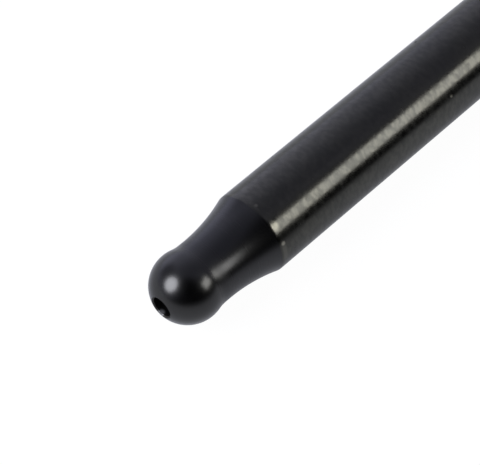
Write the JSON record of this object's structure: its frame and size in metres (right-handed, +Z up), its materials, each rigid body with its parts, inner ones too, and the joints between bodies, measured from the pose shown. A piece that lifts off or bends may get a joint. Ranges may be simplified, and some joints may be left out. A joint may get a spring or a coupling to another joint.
{
  "type": "engine pushrod",
  "caption": "Black steel engine pushrod: a straight tube, swaged in at its ends to ground balls with oil holes, that carries the lifter's motion to the rocker arm.",
  "frame": {"origin": "centre of the ball at the lifter end", "axes": "+X along the rod's axis towards the rocker end, +Z up as the rod lies on its side"},
  "size_m": [0.2098, 0.0094, 0.0096],
  "materials": {
    "black_oxide_steel": "black oxide on ground steel, satin on the tube and smoother on the ball ends"
  },
  "bodies": {
    "root": {"pushrod": "black_oxide_steel"}
  },
  "joints": []
}
